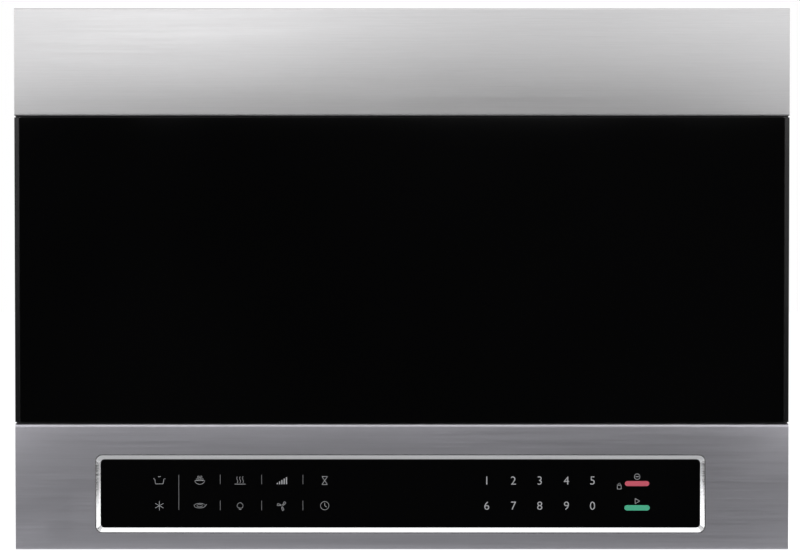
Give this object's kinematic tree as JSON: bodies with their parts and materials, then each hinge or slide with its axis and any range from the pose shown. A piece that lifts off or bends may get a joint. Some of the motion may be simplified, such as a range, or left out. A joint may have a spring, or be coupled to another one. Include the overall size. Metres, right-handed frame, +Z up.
{
  "type": "over the range microwave",
  "caption": "Over-the-range microwave oven with a side-hinged black glass door, stainless vent and control bands, turntable, extraction blower and grease filters.",
  "frame": {"origin": "centre of the wall plate's back face, on the wall", "axes": "+Z up, +X to the viewer's right, the front faces -Y, +Y into the wall"},
  "size_m": [0.606, 0.394, 0.424],
  "materials": {
    "brushed_steel": "fine horizontal brushing",
    "fascia_steel": null,
    "polished": "bright polish",
    "black_glass": "glossy black back-painted glass",
    "tray_glass": "clear",
    "lens_glass": "clear",
    "lamp_glass": "clear",
    "case_paint": "satin black powder coat",
    "galvanised": "zinc coated",
    "enamel": "light grey enamel",
    "black_plastic": "fine texture",
    "white_plastic": "satin",
    "grey_plastic": "satin",
    "red_plastic": "satin",
    "aluminium": "satin",
    "filter_mesh": "expanded mesh",
    "steel": "plated",
    "lamination": "varnished laminations",
    "winding": "varnished wire",
    "mica": "mica",
    "board": "solder mask",
    "charcoal": "granular"
  },
  "bodies": {
    "case": {"wall_plate": "galvanised", "rear_panel": "galvanised", "outer_wrap": "case_paint", "base_plate": "case_paint", "front_frame": "case_paint", "cord_bushing": "black_plastic", "cavity": "enamel", "waveguide": "galvanised", "waveguide_cover": "mica", "cavity_lamp": "lamp_glass", "magnetron_yoke": "galvanised", "magnetron_anode": "aluminium", "magnetron_filter_box": "galvanised", "transformer_core": "lamination", "transformer_primary": "winding", "transformer_secondary": "winding", "hv_capacitor": "aluminium", "cooling_fan_shroud": "black_plastic", "blower_housing": "galvanised", "blower_motor": "steel", "exhaust_collar": "galvanised", "cooktop_lamp": "lamp_glass", "turntable_motor": "steel", "control_fascia": "fascia_steel", "control_bezel": "polished", "touch_glass": "black_glass", "control_board": "board", "vent_cover": "brushed_steel", "vent_grille": "black_plastic", "charcoal_filter": "charcoal", "upper_hinge_plate": "case_paint", "lower_hinge_plate": "case_paint", "latch_bracket": "galvanised", "switch_primary": "black_plastic", "switch_secondary": "black_plastic", "switch_monitor": "black_plastic"},
    "door": {"door_glass": "black_glass", "door_frame": "black_plastic", "door_choke": "galvanised", "window_screen": "case_paint", "choke_cover": "black_plastic"},
    "latch": {"latch_hooks": "grey_plastic", "latch_spring": "steel"},
    "turntable": {"glass_tray": "tray_glass", "drive_coupler": "white_plastic"},
    "roller_ring": {"roller_ring": "white_plastic"},
    "roller_1": {"roller_1": "white_plastic"},
    "roller_2": {"roller_2": "white_plastic"},
    "roller_3": {"roller_3": "white_plastic"},
    "blower_rotor": {"blower_wheel_left": "galvanised", "blower_wheel_right": "galvanised", "blower_shaft": "steel"},
    "cooling_fan": {"cooling_fan": "grey_plastic"},
    "filter_left": {"grease_filter_left": "filter_mesh"},
    "filter_right": {"grease_filter_right": "filter_mesh"},
    "damper": {"damper_flap": "aluminium"},
    "lamp_cover": {"lamp_cover": "lens_glass"},
    "plunger_primary": {"plunger_primary": "red_plastic"},
    "plunger_secondary": {"plunger_secondary": "red_plastic"},
    "plunger_monitor": {"plunger_monitor": "red_plastic"}
  },
  "joints": [
    {"name": "door_hinge", "type": "hinge", "parent": "case", "child": "door", "pos_m": [-0.291, -0.376, 0], "axis": [0, 0, -1], "range_deg": [0, 110]},
    {"name": "latch_slide", "type": "slide", "parent": "door", "child": "latch", "axis": [0, 0, 1], "range_m": [-0.0035, 0], "stiffness_N_per_m": 400, "springref_m": 0.002, "deforming": ["latch_spring"]},
    {"name": "turntable_spin", "type": "hinge", "parent": "case", "child": "turntable", "pos_m": [-0.032, -0.198, -0.0925], "axis": [0, 0, 1], "continuous": true},
    {"name": "ring_spin", "type": "hinge", "parent": "case", "child": "roller_ring", "pos_m": [-0.032, -0.198, -0.0872], "axis": [0, 0, 1], "continuous": true},
    {"name": "roller_1_spin", "type": "hinge", "parent": "roller_ring", "child": "roller_1", "pos_m": [0.064, -0.198, -0.0872], "axis": [1, 0, 0], "continuous": true},
    {"name": "roller_2_spin", "type": "hinge", "parent": "roller_ring", "child": "roller_2", "pos_m": [-0.08, -0.11486, -0.0872], "axis": [-0.5, 0.866, 0], "continuous": true},
    {"name": "roller_3_spin", "type": "hinge", "parent": "roller_ring", "child": "roller_3", "pos_m": [-0.08, -0.28114, -0.0872], "axis": [-0.5, -0.866, 0], "continuous": true},
    {"name": "blower_spin", "type": "hinge", "parent": "case", "child": "blower_rotor", "pos_m": [0, -0.0601, 0.1553], "axis": [1, 0, 0], "continuous": true},
    {"name": "cooling_fan_spin", "type": "hinge", "parent": "case", "child": "cooling_fan", "pos_m": [0.2513, -0.0773, 0.085], "axis": [0, 1, 0], "continuous": true},
    {"name": "filter_left_drop", "type": "slide", "parent": "case", "child": "filter_left", "axis": [0, 0, -1], "range_m": [0, 0.06]},
    {"name": "filter_right_drop", "type": "slide", "parent": "case", "child": "filter_right", "axis": [0, 0, -1], "range_m": [0, 0.06]},
    {"name": "damper_swing", "type": "hinge", "parent": "case", "child": "damper", "pos_m": [0, -0.0241, 0.2033], "axis": [-1, 0, 0], "range_deg": [0, 80]},
    {"name": "lamp_cover_swing", "type": "hinge", "parent": "case", "child": "lamp_cover", "pos_m": [-0.031, -0.213, -0.2015], "axis": [1, 0, 0], "range_deg": [0, 90]},
    {"name": "plunger_primary_travel", "type": "slide", "parent": "case", "child": "plunger_primary", "axis": [0, 1, 0], "range_m": [0, 0.001], "stiffness_N_per_m": 300, "springref_m": -0.001},
    {"name": "plunger_secondary_travel", "type": "slide", "parent": "case", "child": "plunger_secondary", "axis": [0, 1, 0], "range_m": [0, 0.001], "stiffness_N_per_m": 300, "springref_m": -0.001},
    {"name": "plunger_monitor_travel", "type": "slide", "parent": "case", "child": "plunger_monitor", "axis": [0, 1, 0], "range_m": [0, 0.001], "stiffness_N_per_m": 300, "springref_m": -0.001}
  ],
  "couplings": [
    {"joint": "ring_spin", "follows": "turntable_spin", "ratio": 0.5},
    {"joint": "roller_1_spin", "follows": "turntable_spin", "ratio": -6.8571},
    {"joint": "roller_2_spin", "follows": "turntable_spin", "ratio": -6.8571},
    {"joint": "roller_3_spin", "follows": "turntable_spin", "ratio": -6.8571}
  ]
}
